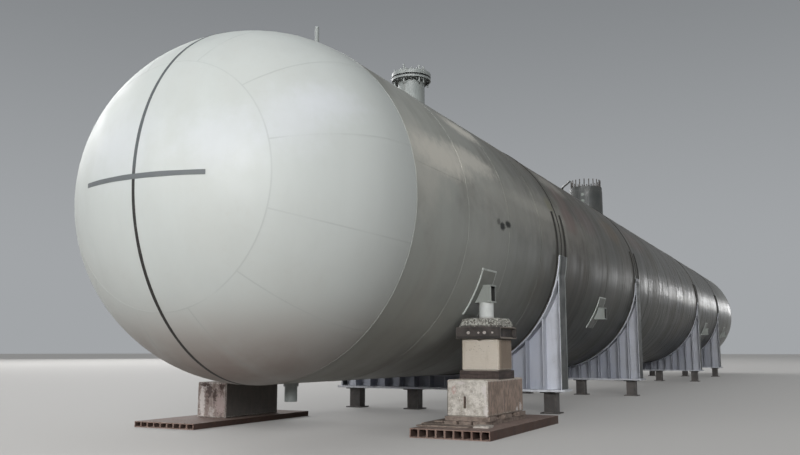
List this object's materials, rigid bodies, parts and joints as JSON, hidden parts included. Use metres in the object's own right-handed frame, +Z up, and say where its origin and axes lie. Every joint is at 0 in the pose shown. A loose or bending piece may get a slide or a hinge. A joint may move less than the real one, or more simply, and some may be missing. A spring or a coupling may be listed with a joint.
{
  "type": "horizontal pressure tank, 1:2 scale model",
  "caption": "Half-scale long horizontal pressure tank with round ends on ribbed saddles, with a flanged top nozzle, a studded dome and jacking lugs on stacked stands.",
  "frame": {"origin": "on the floor, under the middle of the tank's length, on its centre line", "axes": "+X along the tank from the near head to the far head, +Y to the left seen along +X, +Z up"},
  "size_m": [30.114, 3.8718, 4.64],
  "materials": {
    "head_paint": "satin primer",
    "shell_paint": "glossy primer",
    "saddle_paint": "matt primer",
    "lug_paint": "satin primer",
    "nozzle_paint": "satin primer",
    "jack_paint": "scuffed paint",
    "rubber": "matt",
    "dark_steel": "dull, stained",
    "rusty_steel": "rusted",
    "concrete": "weathered concrete",
    "timber": "weathered"
  },
  "bodies": {
    "root": {"near_head_crown": "head_paint", "near_head_petals": "head_paint", "near_head_welds": "head_paint", "far_head_crown": "head_paint", "far_head_petals": "head_paint", "far_head_welds": "head_paint", "shell_section_1": "shell_paint", "shell_section_2": "shell_paint", "shell_section_3": "shell_paint", "shell_section_4": "shell_paint", "shell_section_5": "shell_paint", "shell_section_6": "shell_paint", "shell_section_7": "shell_paint", "shell_section_8": "shell_paint", "shell_girth_welds": "shell_paint", "saddle_1": "saddle_paint", "saddle_2": "saddle_paint", "saddle_3": "saddle_paint", "saddle_4": "saddle_paint", "saddle_rubber_strips": "rubber", "saddle_girth_bands": "rubber", "saddle_stools": "dark_steel", "top_nozzle": "nozzle_paint", "nozzle_blind_flange": "nozzle_paint", "nozzle_bolts": "dark_steel", "dome_barrel": "nozzle_paint", "dome_cover": "nozzle_paint", "dome_studs": "dark_steel", "dome_davit": "nozzle_paint", "vent_pipe": "nozzle_paint", "drain_nozzle": "nozzle_paint", "lug_pads": "lug_paint", "lug_brackets": "lug_paint", "right_raft": "rusty_steel", "right_timbers": "timber", "right_lower_block": "concrete", "right_packer": "timber", "right_upper_block": "concrete", "right_grillage": "dark_steel", "right_jack": "jack_paint", "left_raft": "rusty_steel", "left_lower_block": "concrete", "left_packer": "timber", "left_upper_block": "concrete", "left_grillage": "dark_steel", "left_jack": "jack_paint"}
  },
  "joints": []
}
